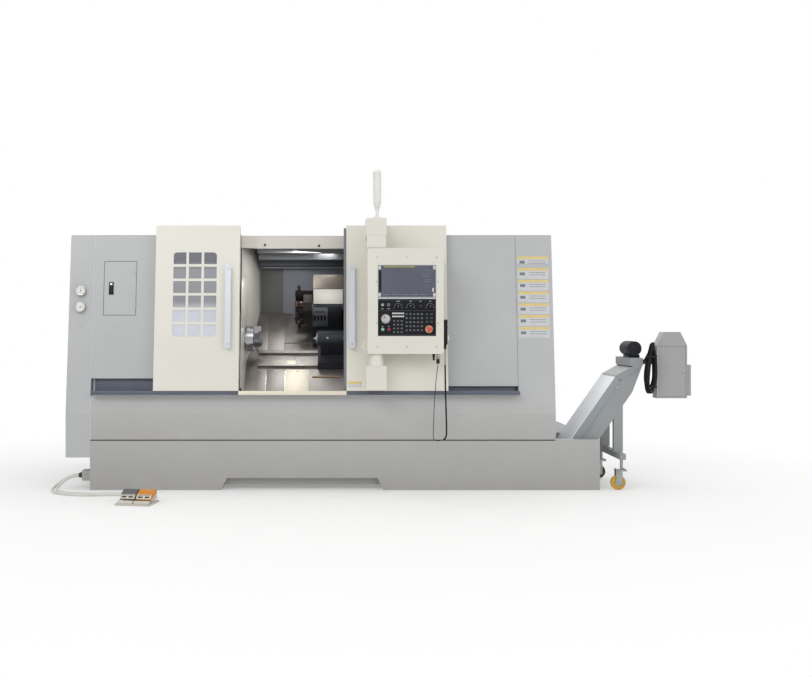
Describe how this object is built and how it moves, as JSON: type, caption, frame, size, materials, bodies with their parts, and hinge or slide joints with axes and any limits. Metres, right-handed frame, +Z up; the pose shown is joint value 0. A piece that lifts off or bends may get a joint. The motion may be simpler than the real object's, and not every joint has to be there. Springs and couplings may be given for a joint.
{
  "type": "cnc turning lathe",
  "caption": "Slant-bed turning lathe with sliding guard doors, swinging operator console, tool turret, tailstock, chip conveyor and foot switch.",
  "frame": {"origin": "on the floor under the middle of the machine, conveyor and foot switch, cords left out", "axes": "+Z up, +X along the spindle towards the conveyor, -Y towards the operator"},
  "size_m": [4.3752, 2.1732, 2.156],
  "materials": {
    "base_paint": "satin grey paint",
    "cover_paint": "satin light grey paint",
    "cream_paint": "satin cream paint",
    "cast_iron": "machined casting",
    "machined_steel": "turned and ground steel",
    "sheet_steel": "brushed sheet steel",
    "dark_steel": "black oxide steel",
    "handle_aluminium": "anodised aluminium",
    "window_glass": "tinted safety glass",
    "screen_glass": "dark display",
    "panel_black": "matt black key panel",
    "black_plastic": "matt black plastic",
    "white_plastic": "white plastic",
    "red_plastic": "red plastic",
    "green_plastic": "green plastic",
    "grey_plastic": "grey plastic",
    "orange_plastic": "orange plastic",
    "conveyor_paint": "blue-grey paint",
    "motor_paint": "dark paint",
    "caster_tread": "yellow polyurethane tread",
    "zinc_plate": "zinc plated steel",
    "conduit_pale": "pale conduit",
    "cable_black": "black cable jacket",
    "pedal_housing": "pale painted casting"
  },
  "bodies": {
    "frame": {"machine_base": "base_paint", "slant_bed": "cast_iron", "front_skirt": "base_paint", "left_end_cover": "cover_paint", "left_front_cover": "cover_paint", "right_front_cover": "cover_paint", "right_end_cover": "cover_paint", "roof_cover": "cover_paint", "rear_cover": "cover_paint", "header_beam": "cream_paint", "inner_liner": "sheet_steel", "headstock_guard": "cream_paint", "headstock": "cast_iron", "main_motor": "motor_paint", "conveyor_frame": "conveyor_paint", "conveyor_motor": "motor_paint", "conveyor_control_box": "conveyor_paint", "conveyor_hank": "cable_black", "pedal_base": "pedal_housing", "cable_bracket": "zinc_plate", "pressure_gauges": "white_plastic", "pedal_cable_1": "conduit_pale", "pedal_cable_2": "conduit_pale"},
    "access_door": {"access_door": "cover_paint"},
    "left_door": {"left_door_shell": "cream_paint", "left_door_window": "window_glass", "left_door_handle": "handle_aluminium"},
    "right_door": {"right_door_shell": "cream_paint", "right_door_handle": "handle_aluminium", "console_bracket": "cream_paint", "signal_tower": "white_plastic"},
    "console": {"console_body": "cream_paint", "console_screen": "screen_glass", "key_panel": "panel_black", "pendant_box": "black_plastic", "pendant_curl": "cable_black", "pendant_lead": "cable_black"},
    "handwheel": {"handwheel": "white_plastic"},
    "selector_1": {"selector_knob_1": "black_plastic"},
    "selector_2": {"selector_knob_2": "black_plastic"},
    "estop": {"estop_button": "red_plastic"},
    "start": {"start_button": "green_plastic"},
    "stop": {"stop_button": "red_plastic"},
    "pendant_dial": {"pendant_dial": "white_plastic"},
    "spindle": {"spindle": "machined_steel", "chuck_body": "machined_steel"},
    "jaw_1": {"chuck_jaw_1": "machined_steel"},
    "jaw_2": {"chuck_jaw_2": "machined_steel"},
    "jaw_3": {"chuck_jaw_3": "machined_steel"},
    "saddle": {"saddle": "cast_iron"},
    "cross_slide": {"turret_body": "cast_iron"},
    "turret": {"turret_disc": "dark_steel"},
    "tailstock": {"tailstock_body": "cast_iron"},
    "quill": {"tailstock_quill": "machined_steel"},
    "caster_front": {"caster_fork_front": "zinc_plate"},
    "caster_rear": {"caster_fork_rear": "zinc_plate"},
    "wheel_front": {"caster_wheel_front": "caster_tread"},
    "wheel_rear": {"caster_wheel_rear": "black_plastic"},
    "left_pedal": {"pedal_left": "grey_plastic"},
    "right_pedal": {"pedal_right": "orange_plastic"}
  },
  "joints": [
    {"name": "access_door_hinge", "type": "hinge", "parent": "frame", "child": "access_door", "pos_m": [-1.6878, -0.30363, 1.36997], "axis": [0, 0.1323, 0.9912], "range_deg": [0, 110]},
    {"name": "left_door_slide", "type": "slide", "parent": "frame", "child": "left_door", "axis": [1, 0, 0], "range_m": [0, 0.355]},
    {"name": "right_door_slide", "type": "slide", "parent": "frame", "child": "right_door", "axis": [-1, 0, 0], "range_m": [0, 0.355]},
    {"name": "console_swing", "type": "hinge", "parent": "right_door", "child": "console", "pos_m": [-0.038, -0.56341, 1.28], "axis": [0, 0, -1], "range_deg": [0, 75]},
    {"name": "handwheel_turn", "type": "hinge", "parent": "console", "child": "handwheel", "pos_m": [0.0217, -0.62341, 1.1623], "axis": [0, -1, 0], "continuous": true},
    {"name": "selector_1_turn", "type": "hinge", "parent": "console", "child": "selector_1", "pos_m": [0.1043, -0.62341, 1.2416], "axis": [0, -1, 0], "range_deg": [-60, 60]},
    {"name": "selector_2_turn", "type": "hinge", "parent": "console", "child": "selector_2", "pos_m": [0.1869, -0.62341, 1.2416], "axis": [0, -1, 0], "range_deg": [-60, 60]},
    {"name": "estop_press", "type": "slide", "parent": "console", "child": "estop", "axis": [0, 1, 0], "range_m": [0, 0.005], "stiffness_N_per_m": 800},
    {"name": "start_press", "type": "slide", "parent": "console", "child": "start", "axis": [0, 1, 0], "range_m": [0, 0.003], "stiffness_N_per_m": 800},
    {"name": "stop_press", "type": "slide", "parent": "console", "child": "stop", "axis": [0, 1, 0], "range_m": [0, 0.003], "stiffness_N_per_m": 800},
    {"name": "pendant_dial_turn", "type": "hinge", "parent": "console", "child": "pendant_dial", "pos_m": [0.446, -0.56341, 1.035], "axis": [1, 0, 0], "continuous": true},
    {"name": "spindle_turn", "type": "hinge", "parent": "frame", "child": "spindle", "pos_m": [-0.94, -0.06341, 1.027], "axis": [1, 0, 0], "continuous": true},
    {"name": "jaw_1_slide", "type": "slide", "parent": "spindle", "child": "jaw_1", "axis": [0, 0, 1], "range_m": [-0.005, 0.005]},
    {"name": "jaw_2_slide", "type": "slide", "parent": "spindle", "child": "jaw_2", "axis": [0, -0.866, -0.5], "range_m": [-0.005, 0.005]},
    {"name": "jaw_3_slide", "type": "slide", "parent": "spindle", "child": "jaw_3", "axis": [0, 0.866, -0.5], "range_m": [-0.005, 0.005]},
    {"name": "saddle_slide", "type": "slide", "parent": "frame", "child": "saddle", "axis": [1, 0, 0], "range_m": [-0.2, 0.3]},
    {"name": "cross_slide", "type": "slide", "parent": "saddle", "child": "cross_slide", "axis": [0, 0.7071, 0.7071], "range_m": [-0.15, 0.015]},
    {"name": "turret_index", "type": "hinge", "parent": "cross_slide", "child": "turret", "pos_m": [-0.541, 0.16286, 1.25327], "axis": [1, 0, 0], "continuous": true},
    {"name": "tailstock_slide", "type": "slide", "parent": "frame", "child": "tailstock", "axis": [1, 0, 0], "range_m": [-0.15, 0.4]},
    {"name": "quill_slide", "type": "slide", "parent": "tailstock", "child": "quill", "axis": [-1, 0, 0], "range_m": [0, 0.08]},
    {"name": "caster_front_swivel", "type": "hinge", "parent": "frame", "child": "caster_front", "pos_m": [1.64, -0.39341, 0.15], "axis": [0, 0, 1], "continuous": true},
    {"name": "wheel_front_roll", "type": "hinge", "parent": "caster_front", "child": "wheel_front", "pos_m": [1.616, -0.39341, 0.05], "axis": [0, 1, 0], "continuous": true},
    {"name": "caster_rear_swivel", "type": "hinge", "parent": "frame", "child": "caster_rear", "pos_m": [1.64, 0.16659, 0.15], "axis": [0, 0, 1], "continuous": true},
    {"name": "wheel_rear_roll", "type": "hinge", "parent": "caster_rear", "child": "wheel_rear", "pos_m": [1.616, 0.16659, 0.05], "axis": [0, 1, 0], "continuous": true},
    {"name": "left_pedal_press", "type": "hinge", "parent": "frame", "child": "left_pedal", "pos_m": [-1.59691, -0.90019, 0.062], "axis": [0.9848, -0.1736, 0], "range_deg": [0, 7], "stiffness_Nm_per_rad": 6, "springref_deg": -8.59},
    {"name": "right_pedal_press", "type": "hinge", "parent": "frame", "child": "right_pedal", "pos_m": [-1.49252, -0.9186, 0.062], "axis": [0.9848, -0.1736, 0], "range_deg": [0, 7], "stiffness_Nm_per_rad": 6, "springref_deg": -8.59}
  ],
  "couplings": [
    {"joint": "jaw_2_slide", "follows": "jaw_1_slide", "ratio": 1},
    {"joint": "jaw_3_slide", "follows": "jaw_1_slide", "ratio": 1}
  ]
}
